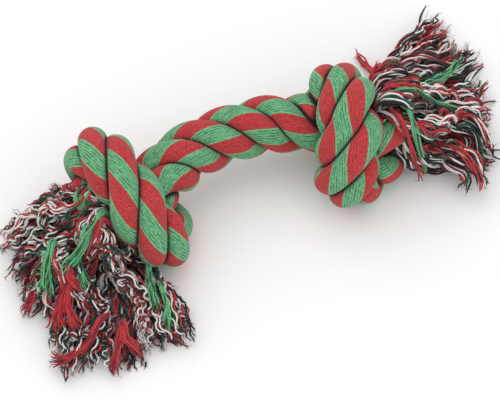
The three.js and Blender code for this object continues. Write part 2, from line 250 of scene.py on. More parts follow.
# A curl that a lock throws aside: where along the lock it starts, how far it bends at each of its
# places, and how many bends it turns away from the lock first.
CURL_STARTS = (0.15, 0.7)
CURL_BENDS = (0.4, 0.9)
CURL_BENDS_AWAY = 1.5
CURL_PLACES = 4
CURL_STEP = 5
CURL_WIDTH = 4.5

# How far a lock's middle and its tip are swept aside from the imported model's, seen from above.
LOCK_SWEEPS = {
    "left_lock_1": ((0, 2), (0, 5)),
    "left_lock_2": ((0, 2), (4, 0)),
    "left_lock_4": ((0, 0), (3, 0)),
    "left_lock_5": ((0, 0), (-2, 8)),
    "left_lock_6": ((0, 0), (6, 6)),
    "left_lock_7": ((0, 0), (-3, -6)),
    "left_lock_8": ((1, 0), (-1, 2)),
    "left_lock_10": ((0, 0), (5, 3)),
    "left_lock_11": ((0, 0), (4, 0)),
    "left_lock_12": ((0, 0), (-4, -1)),
    "right_lock_1": ((2, 10), (7, -4)),
    "right_lock_2": ((0, 10), (-2, -14)),
    "right_lock_3": ((0, 0), (6, -2)),
    "right_lock_5": ((0, 0), (-5, 3)),
    "right_lock_6": ((2, 0), (-3, 7)),
    "right_lock_7": ((7, 2), (16, 6)),
    "right_lock_8": ((8, 4), (19, 8)),
    "right_lock_9": ((0, 3), (-3, 6)),
    "right_lock_10": ((0, 0), (-5, 0)),
}

# How much of each strand's end the tufts are laid over, besides the locks.
TAIL_LENGTH = {"left": 24, "right": 0}

# Where tufts lie over the tassels, seen from above in millimetres: each has a width and its way.
# Some locks throw tufts of their own yarns over the strands' ends.
LOCK_TUFTS = {
    "left_lock_1": ((8, (-70, -8), (-76, -12), (-80, -20), (-86, -24)),),
    "left_lock_2": (
        (8, (-66, -16), (-73, -12), (-80, -9), (-87, -8)),
        (6, (-64, -22), (-70, -18), (-76, -17), (-83, -13)),
        (8, (-70, 0), (-78, 7), (-86, 8), (-92, 4)),
    ),
    "left_lock_3": ((8, (-62, -26), (-68, -22), (-74, -24), (-82, -30)),),
}

# The strips are tufts of cover yarn.
STRIP_TUFTS = {
    "left_green_strip_1": (
        (4.0, (-61, -30), (-67, -26), (-72, -35), (-79, -42), (-87, -52)),
        (2.2, (-62, -26), (-56, -31), (-50, -36)),
    ),
    "left_green_strip_2": (
        (4.2, (-72, -30), (-79, -41), (-79, -49), (-76, -60)),
        (5.5, (-89, -30), (-92, -37), (-93, -43), (-94, -49), (-94, -57)),
        (3.0, (-98, -31), (-95, -38), (-93, -44), (-97, -54)),
    ),
    "left_green_strip_3": (
        (3.0, (-55, -28), (-48, -39), (-46, -50), (-43, -64)),
        (2.2, (-44, -44), (-39, -61), (-38, -73)),
    ),
    "left_red_strip_1": (
        (3.0, (-60, -30), (-68, -31), (-72, -39), (-77, -43)),
        (3.6, (-82, -42), (-84, -53), (-77, -60)),
    ),
    "left_red_strip_2": (
        (5.0, (-80, -44), (-85, -55), (-89, -66), (-88, -73)),
        (5.0, (-79, -46), (-84, -60), (-82, -70), (-79, -76)),
        (4.2, (-99, -47), (-102, -54), (-105, -61)),
    ),
    "left_red_strip_3": (
        (4.6, (-66, -66), (-77, -82), (-85, -88), (-92, -86)),
        (2.8, (-58, -64), (-60, -78), (-64, -93)),
        (4.8, (-58, -66), (-58, -78), (-50, -83)),
    ),
    "right_green_strip_1": ((2.0, (58, 26), (62, 34), (70, 34), (83, 36), (91, 39), (99, 38)),),
    "right_green_strip_2": (
        (1.8, (70, 31), (74, 27), (77, 21), (79, 17), (84, 13)),
        (1.6, (73, 27), (71, 22), (69, 18)),
    ),
    "right_green_strip_3": ((4.6, (80, 50), (90, 60), (99, 70), (103, 77)),),
    "right_red_strip_1": ((2.4, (66, 29), (68, 25), (72, 20), (77, 14), (81, 11)),),
    "right_red_strip_2": (
        (3.4, (56, 22), (62, 26), (67, 27), (72, 24)),
        (2.6, (56, 27), (64, 36), (74, 37), (82, 35)),
    ),
    "right_red_strip_3": (
        (2.4, (62, 52), (61, 66), (57, 74), (51, 83)),
        (3.0, (56, 40), (58, 50), (62, 56)),
    ),
}


def linear(r, g, b):
    """A colour written as it looks on a screen, 0 to 255, as Blender's linear light."""
    values = [c / 255 for c in (r, g, b)]
    return tuple(c / 12.92 if c <= 0.04045 else ((c + 0.055) / 1.055) ** 2.4 for c in values)


RED = linear(200, 50, 60)
DEEP_RED = linear(140, 30, 42)
GREEN = linear(104, 190, 132)
DARK_GREEN = linear(34, 92, 66)
CREAM = linear(252, 246, 238)
CHARCOAL = linear(24, 23, 27)
BRIGHTEST = 0.94

# The loose yarns' colours, and how many of them have each.
YARN_MIXES = {
    "light_core_yarn": (
        (CREAM, 0.38),
        (RED, 0.18),
        (DEEP_RED, 0.09),
        (CHARCOAL, 0.23),
        (DARK_GREEN, 0.12),
    ),
    "dark_core_yarn": (
        (CREAM, 0.24),
        (RED, 0.18),
        (DEEP_RED, 0.09),
        (CHARCOAL, 0.34),
        (DARK_GREEN, 0.15),
    ),
    "red_cover_yarn": ((RED, 0.75), (DEEP_RED, 0.25)),
    "green_cover_yarn": ((GREEN, 0.7), (DARK_GREEN, 0.3)),
}

# The cover's two colours, from their darkest to their lightest fibres, the dark dashes in them, and
# the pale green along a band's edge.
COVER_REDS = (linear(158, 40, 46), linear(224, 80, 82))
COVER_GREENS = (linear(66, 136, 94), linear(144, 214, 158))
RED_DASH = linear(110, 20, 30)
RED_DASH_SHARE = 0.25
GREEN_DASH = linear(22, 62, 48)
GREEN_DASH_SHARE = 0.8
BAND_EDGE = linear(134, 206, 156)
BAND_EDGE_SHARE = 0.55

# The noises in the materials: how often each changes across a yarn and along a millimetre, its
# detail and its roughness.
COVER_FIBRES = (7, 0.5, 4, 0.7)
COVER_STITCHES = (1.6, 1.3, 2, 0.6)
COVER_DASHES = (1.1, 0.3, 2, 0.6)
COVER_PATCHES = (0.3, 0.12, 2, 0.6)
CORE_FIBRES = (5, 0.8, 3, 0.7)

# Between which values of its noise, or of how far a place is from a yarn's or a band's middle,
# each of these comes in.
FIBRE_RANGE = (0.3, 0.75)
STITCH_RANGE = (0.34, 0.66)
DASH_RANGE = (0.44, 0.56)
PATCH_RANGE = (0.3, 0.7)
COVER_GROOVE_RANGE = (0.4, 1)
CORE_GROOVE_RANGE = (0.55, 1)
BAND_EDGE_RANGE = (0.84, 0.98)

# How light each leaves a place where it isn't there, and where it is: the stitches, patches and
# fibres vary at random, and the grooves' darkening is painted shade between yarns and plies.
STITCH_LIGHT = (0.66, 1.2)
PATCH_LIGHT = (0.92, 1.06)
COVER_GROOVE_PAINTED_SHADE = (1, 0.84)
CORE_FIBRE_LIGHT = (0.82, 1.12)
CORE_GROOVE_PAINTED_SHADE = (1, 0.7)

# The plies in a loose yarn, how many of them go by in a millimetre along it, and the share of its
# fibres in its relief.
CORE_PLIES = 2
CORE_TWIST = 0.6
CORE_FIBRE_RELIEF = 0.4

# Cotton's surface, and how deep the cover's and the loose yarns' relief goes in millimetres.
COTTON_ROUGHNESS = 0.9
COTTON_SPECULAR = 0.15
SHEEN_ROUGHNESS = 0.6
COVER_SHEEN = 0.1
CORE_SHEEN = 0.2
RELIEF_STRENGTH = 0.6
COVER_RELIEF = 0.16
CORE_RELIEF = 0.2

# Where Blender's node for mixing keeps its sockets for colours: the share, the two colours and the
# result.
MIX_SHARE = 0
MIX_COLOURS = (6, 7)
MIX_RESULT = 2


# Reading the frame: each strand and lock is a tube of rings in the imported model


def welded(node):
    """A node's places in millimetres, and for each place the places that share an edge with it."""
    mesh = frame["nodes"][node].data
    co = np.array([v.co for v in mesh.vertices]) / MM
    keys = np.round(co * WELD_STEPS).astype(int)
    _, first, weld = np.unique(keys, axis=0, return_index=True, return_inverse=True)
    weld = weld.ravel()
    near = [set() for _ in first]
    mesh.calc_loop_triangles()
    for triangle in mesh.loop_triangles:
        a, b, c = (int(weld[v]) for v in triangle.vertices)
        if len({a, b, c}) == 3:
            near[a] |= {b, c}
            near[b] |= {a, c}
            near[c] |= {a, b}
    return co[first], near


def rings_of(node, sides):
    """The middle and the mean radius of every ring of a tube node, from one end to the other. An
    end's cap is a fan of triangles, so all of its places but the fan's own have few neighbours."""
    places, near = welded(node)
    few = {k for k, n in enumerate(near) if len(n) < WALL_NEIGHBOURS}
    cap = set()
    while len(cap) != sides - 1:
        cap, queue = set(), [min(few)]
        while queue:
            k = queue.pop()
            if k not in cap:
                cap.add(k)
                queue += near[k] & few
        few -= cap
    fan = next(k for k, n in enumerate(near) if k not in cap and cap <= n)
    layers = [cap | {fan}]
    seen = set(layers[0])
    while len(seen) < len(places):
        layer = set().union(*(near[k] for k in layers[-1])) - seen
        layers.append(layer)
        seen |= layer
    if any(len(layer) != sides for layer in layers):
        raise RuntimeError(f"{node} isn't a tube of {sides}-sided rings")
    found = []
    for layer in layers:
        ring = places[list(layer)]
        middle = ring.mean(0)
        found.append((middle, np.linalg.norm(ring - middle, axis=1).mean()))
    return found


def joined_up(parts):
    """The rings of several tubes that follow each other as one run, and where each one ends."""
    ends = [(p[0][0], p[-1][0]) for p in parts]
    run, cuts = [], []
    for i, part in enumerate(parts):
        other = ends[i + 1] if i + 1 < len(parts) else ends[i - 1]
        first = min(np.linalg.norm(ends[i][0] - e) for e in other)
        last = min(np.linalg.norm(ends[i][1] - e) for e in other)
        forward = last < first if i + 1 < len(parts) else first < last
        rings = part if forward else part[::-1]
        if run:
            centre = (run[-1][0] + rings[0][0]) / 2
            run[-1] = (centre, (run[-1][1] + rings[0][1]) / 2)
            rings = rings[1:]
        run += rings
        cuts.append(len(run) - 1)
    return run, cuts


# Lines


def smooth(values, spread):
    """Values along a line, smoothed with a bell curve that wide, their ends kept."""
    reach = int(SMOOTHING_REACH * spread) + 1
    weights = np.exp(-0.5 * (np.arange(-reach, reach + 1) / spread) ** 2)
    weights /= weights.sum()
    v = np.asarray(values, float)
    flat = v.reshape(len(v), -1)
    reach_in = min(reach, len(flat) - 1)
    head = 2 * flat[:1] - flat[reach_in:0:-1]
    tail = 2 * flat[-1:] - flat[-2 : -reach_in - 2 : -1]
    short = ((reach - reach_in, reach - reach_in), (0, 0))
    long = np.pad(np.vstack([head, flat, tail]), short, "edge")
    out = np.stack([np.convolve(c, weights, "valid") for c in long.T], 1)
    return out.reshape(v.shape)


def lengths_along(line):
    """How far along a line each of its places is."""
    return np.append(0, np.cumsum(np.linalg.norm(np.diff(line, axis=0), axis=1)))


def spline(points, step):
    """A smooth curve through the points: places a step apart, and where each one is, counted in
    points."""
    p = np.array(points, float)
    p = np.vstack([2 * p[0] - p[1], p, 2 * p[-1] - p[-2]])
    fine, at = [], []
    for i in range(1, len(p) - 2):
        t = np.linspace(0, 1, CURVE_STEPS, endpoint=False)[:, None]
        a, b, c, d = p[i - 1 : i + 3]
        bend = (2 * a - 5 * b + 4 * c - d) * t**2 + (3 * b - a - 3 * c + d) * t**3
        fine.append(0.5 * (2 * b + (c - a) * t + bend))
        at.append(i - 1 + t[:, 0])
    fine = np.vstack(fine + [p[-2:-1]])
    at = np.append(np.concatenate(at), len(p) - 3)
    length = lengths_along(fine)
    count = max(FEWEST_PLACES, round(length[-1] / step) + 1)
    even = np.linspace(0, length[-1], count)
    places = np.stack([np.interp(even, length, c) for c in fine.T], 1)
    return places, np.interp(even, length, at)


def tangents(places):
    t = np.gradient(places, axis=0)
    return t / np.linalg.norm(t, axis=1)[:, None]


def carried(along):
    """Two side directions at each place, that turn no more than the line does."""
    side = np.zeros_like(along)
    u = np.array(FIRST_SIDE)
    for i, t in enumerate(along):
        u = u - (u @ t) * t
        u /= np.linalg.norm(u)
        side[i] = u
    return side, np.cross(along, side)


def ease(x, low, high):
    """A soft step: 0 up to low, 1 from high on."""
    t = np.clip((np.asarray(x, float) - low) / (high - low), 0, 1)
    return t * t * (3 - 2 * t)


# Meshes


def add_mesh(name, places, faces, uv, material, tones):
    """A smooth mesh from places in millimetres, each with its tone, and from faces, which have a UV
    pair for each of their corners."""
    mesh = bpy.data.meshes.new(name)
    faces = np.asarray(faces)
    mesh.vertices.add(len(places))
    mesh.vertices.foreach_set("co", (np.asarray(places) * MM).astype(np.float32).ravel())
    mesh.loops.add(faces.size)
    mesh.loops.foreach_set("vertex_index", faces.ravel().astype(np.int32))
    mesh.polygons.add(len(faces))
    starts = np.arange(0, faces.size, faces.shape[1], dtype=np.int32)
    mesh.polygons.foreach_set("loop_start", starts)
    mesh.polygons.foreach_set("use_smooth", np.ones(len(faces), bool))
    mesh.update(calc_edges=True)
    layer = mesh.uv_layers.new(name="yarn")
    layer.data.foreach_set("uv", np.asarray(uv, np.float32).ravel())
    tone = mesh.color_attributes.new("tone", "FLOAT_COLOR", "POINT")
    rgba = np.hstack([tones, np.ones((len(tones), 1))]).astype(np.float32)
    tone.data.foreach_set("color", rgba.ravel())
    mesh.validate()
    mesh.materials.append(material)
    piece = bpy.data.objects.new(name, mesh)
    bpy.context.scene.collection.objects.link(piece)
    return piece


def tube_faces(rings, sides, first=0):
    """The quads of a tube, and the column and row of each of their corners."""
    r, k = np.meshgrid(np.arange(rings - 1), np.arange(sides), indexing="ij")
    r, k = r.ravel(), k.ravel()
    columns = np.stack([k, k + 1, k + 1, k], 1)
    rows = np.stack([r, r, r + 1, r + 1], 1)
    return first + rows * sides + columns % sides, columns, rows


# Materials


class NodeMaterial:
    """A material made of nodes, with a method for each kind of node that the looks need."""

    def __init__(self, name):
        self.material = bpy.data.materials.new(name)
        self.material.use_nodes = True
        self.nodes = self.material.node_tree.nodes
        self.bsdf = self.nodes["Principled BSDF"]

    def feed(self, socket, value):
        """Gives a socket a number, a colour or what another node makes."""
        if isinstance(value, (int, float)):
            socket.default_value = value
        elif isinstance(value, tuple):
            socket.default_value = (*value, 1)
        else:
            self.material.node_tree.links.new(value, socket)

    def maths(self, operation, *values):
        node = self.nodes.new("ShaderNodeMath")
        node.operation = operation
        for socket, value in zip(node.inputs, values):
            self.feed(socket, value)
        return node.outputs[0]

    def times(self, a, b):
        return self.maths("MULTIPLY", a, b)

    def mixed(self, share, a, b, blend="MIX"):
        node = self.nodes.new("ShaderNodeMix")
        node.data_type = "RGBA"
        node.blend_type = blend
        for index, value in zip((MIX_SHARE, *MIX_COLOURS), (share, a, b)):
            self.feed(node.inputs[index], value)
        return node.outputs[MIX_RESULT]

    def ranged(self, value, given, wanted=(0, 1), smoother=False):
        """A value carried over from one range to another, and held at their ends."""
        node = self.nodes.new("ShaderNodeMapRange")
        node.interpolation_type = "SMOOTHSTEP" if smoother else "LINEAR"
        for socket, part in zip(node.inputs, (value, *given, *wanted)):
            self.feed(socket, part)
        return node.outputs[0]

    def noise(self, u, v, across, along, detail, roughness):
        """Noise that changes that often across a yarn and along a millimetre."""
        place = self.nodes.new("ShaderNodeCombineXYZ")
        self.feed(place.inputs[0], self.times(u, across))
        self.feed(place.inputs[1], self.times(v, along))
        node = self.nodes.new("ShaderNodeTexNoise")
        self.feed(node.inputs["Vector"], place.outputs[0])
        self.feed(node.inputs["Scale"], 1)
        self.feed(node.inputs["Detail"], detail)
        self.feed(node.inputs["Roughness"], roughness)
        return node.outputs["Fac"]

    def yarn_uv(self):
        """The two UV values of a place, which each material reads in its own way."""
        uv = self.nodes.new("ShaderNodeUVMap")
        uv.uv_map = "yarn"
        split = self.nodes.new("ShaderNodeSeparateXYZ")
        self.feed(split.inputs[0], uv.outputs[0])
        return split.outputs[0], split.outputs[1]

    def tone(self):
        """The tone that a mesh holds for a place: a loose yarn's own colour with painted shade deep
        in a lock, or the cover's painted crease shade.
        """
        node = self.nodes.new("ShaderNodeAttribute")
        node.attribute_name = "tone"
        return node.outputs["Color"]

    def off_middle(self, value):
        """How far a value is from halfway between two whole numbers: 0 halfway, 1 at either."""
        across = self.maths("FRACT", value)
        return self.maths("ABSOLUTE", self.maths("MULTIPLY_ADD", across, 2, -1))

    def shaded(self, colour, light):
        grey = self.nodes.new("ShaderNodeCombineColor")
        for socket in grey.inputs:
            self.feed(socket, light)
        return self.mixed(1, colour, grey.outputs[0], "MULTIPLY")

    def cotton(self, colour, sheen, height, relief):
        """Makes the surface cotton in that colour, with a relief so many millimetres deep."""
        bump = self.nodes.new("ShaderNodeBump")
        self.feed(bump.inputs["Strength"], RELIEF_STRENGTH)
        self.feed(bump.inputs["Distance"], relief * MM)
        self.feed(bump.inputs["Height"], height)
        surface = self.bsdf.inputs
        self.feed(surface["Normal"], bump.outputs[0])
        self.feed(surface["Base Color"], colour)
        self.feed(surface["Roughness"], COTTON_ROUGHNESS)
        self.feed(surface["Specular IOR Level"], COTTON_SPECULAR)
        self.feed(surface["Sheen Weight"], sheen)
        self.feed(surface["Sheen Roughness"], SHEEN_ROUGHNESS)
        return self.material


def cover_material():
    """The strands' cover: u counts yarns round the strand, v is millimetres along it, and the tone
    is painted shade that darkens it towards the creases between strands."""
    m = NodeMaterial("two_colour_cover")
    u, v = m.yarn_uv()
    fibres = m.noise(u, v, *COVER_FIBRES)
    stitches = m.noise(u, v, *COVER_STITCHES)
    patches = m.noise(u, v, *COVER_PATCHES)
    groove = m.ranged(m.off_middle(u), COVER_GROOVE_RANGE, smoother=True)
    dashes = m.ranged(m.noise(u, v, *COVER_DASHES), DASH_RANGE, smoother=True)
    dashes = m.times(dashes, groove)
    fibre_share = m.ranged(fibres, FIBRE_RANGE)

    red = m.mixed(fibre_share, *COVER_REDS)
    red = m.mixed(m.times(dashes, RED_DASH_SHARE), red, RED_DASH)
    band = m.times(u, COVER_BANDS / COVER_YARNS)
    edge = m.ranged(m.off_middle(band), BAND_EDGE_RANGE, (0, BAND_EDGE_SHARE), smoother=True)
    green = m.mixed(fibre_share, *COVER_GREENS)
    green = m.mixed(m.times(dashes, GREEN_DASH_SHARE), green, GREEN_DASH)
    green = m.mixed(edge, green, BAND_EDGE)
    is_green = m.maths("GREATER_THAN", m.maths("MODULO", band, 2), 1)
    colour = m.mixed(is_green, red, green)

    light = m.ranged(stitches, STITCH_RANGE, STITCH_LIGHT)
    light = m.times(light, m.ranged(patches, PATCH_RANGE, PATCH_LIGHT))
    # Painted shade: the grooves between the cover's yarns are darkened.
    light = m.times(light, m.ranged(groove, (0, 1), COVER_GROOVE_PAINTED_SHADE))
    colour = m.mixed(1, m.shaded(colour, light), m.tone(), "MULTIPLY")
    return m.cotton(colour, COVER_SHEEN, m.maths("ADD", fibres, stitches), COVER_RELIEF)


def core_material():
    """Loose yarns: u goes once round a yarn, v is millimetres along it, and the tone is the yarn's
    own colour, with painted shade where it lies deep in a lock."""
    m = NodeMaterial("loose_yarn")
    u, v = m.yarn_uv()
    twist = m.maths("MULTIPLY_ADD", v, CORE_TWIST, m.times(u, CORE_PLIES))
    groove = m.ranged(m.off_middle(twist), CORE_GROOVE_RANGE, smoother=True)
    fibres = m.noise(twist, v, *CORE_FIBRES)
    light = m.ranged(fibres, FIBRE_RANGE, CORE_FIBRE_LIGHT)
    # Painted shade: the grooves between a yarn's plies are darkened, and the relief sinks them too.
    light = m.times(light, m.ranged(groove, (0, 1), CORE_GROOVE_PAINTED_SHADE))
    height = m.maths("SUBTRACT", m.times(fibres, CORE_FIBRE_RELIEF), groove)
    return m.cotton(m.shaded(m.tone(), light), CORE_SHEEN, height, CORE_RELIEF)


COVER = cover_material()
CORE = core_material()


# The laid strands


class Strand:
    """One strand's middle line, from the left tassel to the right one, where its pieces meet, and
    how its cover turns round it."""

    def __init__(self, number):
        self.number = number
        parts = [rings_of(f"strand_{number}_{s}", STRAND_SIDES) for s in STRETCHES]
        run, cuts = joined_up(parts)
        places, at = spline([r[0] for r in run], STRAND_STEP)
        self.places = smooth(places, STRAND_SMOOTHING)
        self.along = lengths_along(self.places)
        radii = np.interp(at, np.arange(len(run)), [r[1] for r in run])
        self.core = smooth(radii, CORE_SMOOTHING)
        self.cuts = [int(np.argmin(np.abs(at - c))) for c in cuts[:-1]]
        left, _, right = (self.along[c] for c in self.cuts)
        between = ease(self.along, left - MOUTH_EASE, left)
        between *= 1 - ease(self.along, right, right + MOUTH_EASE)
        self.most = KNOT_REACH + (MIDDLE_REACH - KNOT_REACH) * between
        self.travel = tangents(self.places)
        self.side, self.across = carried(self.travel)

        stops = [0, *(self.along[c] for c in self.cuts), self.along[-1]]
        turns = np.append(0, np.cumsum(np.diff(stops) / COVER_LEADS))
        start = math.radians(COVER_STARTS_DEG[number - 1])
        turned = smooth(np.interp(self.along, stops, turns), COVER_SMOOTHING)
        self.cover_turn = start - 2 * np.pi * turned


def pressed(strands):
    """How far each strand's surface reaches from its middle in each direction, pressed flat where
    it meets its neighbours: the surface between two strands splits their distance by their cores.
    The reach is smoothed round the strand, where the directions close up, and then along it."""
    places = np.vstack([s.places for s in strands])
    core = np.concatenate([s.core for s in strands])
    owner = np.concatenate([np.full(len(s.places), i) for i, s in enumerate(strands)])
    along = np.concatenate([s.along for s in strands])
    tree = KDTree(len(places))
    for i, p in enumerate(places):
        tree.insert(p, i)
    tree.balance()
    turn = 2 * np.pi * np.arange(SPOKES) / SPOKES
    result = []
    for n, s in enumerate(strands):
        found = np.tile(s.most[:, None], (1, SPOKES))
        for i, p in enumerate(s.places):
            near = np.array([j for _, j, _ in tree.find_range(p, NEAR)])
            own = owner[near] == n
            near = near[~own | (np.abs(along[near] - s.along[i]) > SELF_NEAR)]
            if not len(near):
                continue
            directions = np.outer(np.cos(turn), s.side[i]) + np.outer(np.sin(turn), s.across[i])
            offset = places[near] - p
            facing = np.maximum(offset @ directions.T, LEAST_FACING)
            share = np.where(owner[near] == n, SELF_SHARE, s.core[i] / (s.core[i] + core[near]))
            wall = (share * (offset**2).sum(1))[:, None] / facing
            found[i] = np.minimum(wall.min(0) - CONTACT_GAP / 2, s.most[i])
        found = np.maximum(found, LEAST_REACH)
        turned = smooth(np.hstack([found, found, found]).T, PRESS_SMOOTHING).T
        soft = smooth(turned[:, SPOKES : 2 * SPOKES], PRESS_SMOOTHING)
        result.append(np.minimum(soft, found + PRESS_SLACK))
    return result


def strand_grid(strand, radii):
    """Places on the cover, rings of corners that follow its yarns round the strand, and the painted
    shade that darkens it there, in the creases between strands."""
    columns = COVER_YARNS * YARN_FACETS
    share = np.arange(columns) / columns
    relief = -YARN_RELIEF * np.abs(2 * ((share * COVER_YARNS) % 1) - 1) ** 2
    angle = (strand.cover_turn[:, None] + 2 * np.pi * share[None, :]) % (2 * np.pi)
    slot = angle / (2 * np.pi) * SPOKES
    low = np.floor(slot).astype(int) % SPOKES
    mix = slot - np.floor(slot)
    rows = np.arange(len(radii))[:, None]
    radius = radii[rows, low] * (1 - mix) + radii[rows, (low + 1) % SPOKES] * mix
    # Painted shade: the cover darkens where another strand presses its surface in, in the crease
    # between them.
    tone = 1 - PAINTED_CREASE_SHADE * ease(1 - radius / strand.most[:, None], *PAINTED_CREASE_SHARES)
    radius += relief
    out = (
        strand.places[:, None]
        + (radius * np.cos(angle))[..., None] * strand.side[:, None]
        + (radius * np.sin(angle))[..., None] * strand.across[:, None]
    )
    ragged = np.repeat(rng.uniform(0, RAGGED_END, (2, COVER_YARNS)), YARN_FACETS, axis=1)
    out[0] -= ragged[0][:, None] * strand.travel[0]
    out[-1] += ragged[1][:, None] * strand.travel[-1]
    out[..., 2] = np.maximum(out[..., 2], LEAST_HEIGHT)
    return out, tone


def cover_piece(name, strand, grid, tone, low, high):
    """A strand's cover between two of its places, with the painted crease shade as its tone."""
    part = grid[low : high + 1]
    faces, column, row = tube_faces(len(part), grid.shape[1])
    uv = np.stack([column / YARN_FACETS, strand.along[low + row]], -1)
    tones = np.repeat(tone[low : high + 1].reshape(-1, 1), 3, axis=1)
    return add_mesh(name, part.reshape(-1, 3), faces, uv, COVER, tones)


joints = {j["name"]: j for j in frame["joints"]}


def hinge(name):
    return np.array(joints[name]["pos_m"]) / MM


def blend(piece, a, b, start, end):
    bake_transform(piece)


strands = [Strand(i) for i in (1, 2, 3)]
lines = [s.places[np.linspace(s.cuts[0], s.cuts[2], ROPE_LINE_PLACES).astype(int)] for s in strands]
rope_travel = tangents(np.mean(lines, 0))
left_way, arch_way, right_way = (rope_travel[i] for i in (0, ROPE_LINE_PLACES // 2, -1))
left, arch, right = hinge("left_swing"), hinge("rope_lift"), hinge("right_swing")

for strand, radii in zip(strands, pressed(strands)):
    # The tone is painted shade in the creases between strands.
    grid, tone = strand_grid(strand, radii)
    first, top, last = strand.cuts
    half = int((ARCH_BEND + ARCH_OVERHANG) / STRAND_STEP)
    stops = (0, first, top - half, top + half, last, len(strand.places) - 1)
    names = ("left_knot", "left_bend", "arch", "right_bend", "right_knot")
    start = f"strand_{strand.number}_"
    spans = zip(names, stops, stops[1:])
    pieces = [cover_piece(start + n, strand, grid, tone, a, b) for n, a, b in spans]
    left_knot, left_bend, crown, right_bend, right_knot = pieces
    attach(left_knot, "left_knot")
    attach(right_knot, "right_knot")
    near_left, far_left = left + BEND_START * left_way, left + BEND_END * left_way
    near_right, far_right = right - BEND_START * right_way, right - BEND_END * right_way
    before_arch, after_arch = arch - ARCH_BEND * arch_way, arch + ARCH_BEND * arch_way
    blend(left_bend, "left_knot", "middle_left", near_left, far_left)
    blend(crown, "middle_left", "middle_right", before_arch, after_arch)
    blend(right_bend, "middle_right", "right_knot", far_right, near_right)
    for piece, stretch in zip((left_knot, left_bend, right_bend, right_knot), STRETCHES):
        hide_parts(start + stretch)


# The tassels


def picked(mix, count):
    """That many colours drawn from a mix, each a little lighter or darker than it is there."""
    colours = np.array([c for c, _ in mix])
    weights = np.array([w for _, w in mix])
    chosen = rng.choice(len(colours), size=count, p=weights / weights.sum())
    return np.clip(colours[chosen] * rng.uniform(*YARN_TONES, (count, 1)), 0, BRIGHTEST)


def seat_in_round(k, count):
    """Where one of that many sits in a round bundle: its share of the radius, and its angle."""
    return math.sqrt((k + 0.5) / count), k * GOLDEN_ANGLE


class Bundle:
    """Gathers the tubes of one piece into one mesh."""

    def __init__(self):
        self.places, self.faces, self.uv, self.tones, self.count = [], [], [], [], 0

    def add(self, line, radius, sides, tone):
        """Adds a tube of that radius at each place of a line."""
        side, across = carried(tangents(line))
        angle = 2 * np.pi * np.arange(sides) / sides
        around = np.cos(angle)[:, None] * side[:, None] + np.sin(angle)[:, None] * across[:, None]
        corners = (line[:, None] + np.asarray(radius)[:, None, None] * around).reshape(-1, 3)
        faces, column, row = tube_faces(len(line), sides, self.count)
        length = lengths_along(line) + rng.uniform(0, TEXTURE_SHIFT)
        self.places.append(corners)
        self.faces.append(faces)
        self.uv.append(np.stack([column / sides, length[row]], -1))
        self.tones.append(np.repeat(np.broadcast_to(tone, (len(line), 3)), sides, axis=0))
        self.count += len(corners)

    def piece(self, name):
        uv = np.vstack(self.uv).reshape(-1, 2)
        places, faces, tones = (np.vstack(x) for x in (self.places, self.faces, self.tones))
        return add_mesh(name, places, faces, uv, CORE, tones)


def wander(count, size, turns=WANDER_TURNS):
    """A slow random drift in three directions, nothing at the root, growing towards the tip."""
    points = rng.normal(0, size, (turns + 1, 3))
    points[0] = 0
    x = np.linspace(0, turns, count)
    drift = np.stack([np.interp(x, np.arange(turns + 1), p) for p in points.T], 1)
    drift = smooth(drift, max(1, count / turns / WANDER_ROUNDING))
    return drift * np.linspace(0, 1, count)[:, None] ** WANDER_GROWTH


def fray(bundle, line, tone):
    """Thin fibres that spread from a yarn's end."""
    way = line[-1] - line[-YARN_END_PLACES]
    way /= np.linalg.norm(way)
    x = np.linspace(0, 1, FRAY_PLACES)[:, None]
    thin = FRAY_RADIUS * np.linspace(1, FRAY_TIP_SHARE, FRAY_PLACES)
    for _ in range(FRAY_FIBRES):
        bend = way + rng.normal(0, FRAY_SPREAD, 3)
        bend /= np.linalg.norm(bend)
        reach = FRAY_LENGTH * rng.uniform(*FRAY_LENGTHS)
        curl = rng.normal(0, FRAY_CURL, 3) * np.sin(x * np.pi * FRAY_CURL_HALF_TURNS) * x
        start = line[-1] - way * FRAY_SEAT
        fibre = start + (way * (1 - x) + bend * x) * x * reach + curl
        fibre[:, 2] = np.maximum(fibre[:, 2], FRAY_RADIUS)
        own_tone = np.clip(tone * rng.uniform(*FRAY_TONES), 0, BRIGHTEST)
        bundle.add(fibre, thin, FRAY_SIDES, own_tone)


def yarn(bundle, line, tone, painted_light):
    """One loose yarn with a frayed end, kept off the floor, in its tone darkened at each place by
    the painted shade that is given with it."""
    count = len(line)
    taper = 1 - YARN_TAPER * ease(np.arange(count), count - YARN_END_PLACES, count)
    thick = YARN_RADIUS * rng.uniform(*YARN_THICKNESSES) * taper
    line[:, 2] = np.maximum(line[:, 2], thick)
    bundle.add(line, thick, YARN_SIDES, tone * painted_light[:, None])
    fray(bundle, line, tone * painted_light[-1])


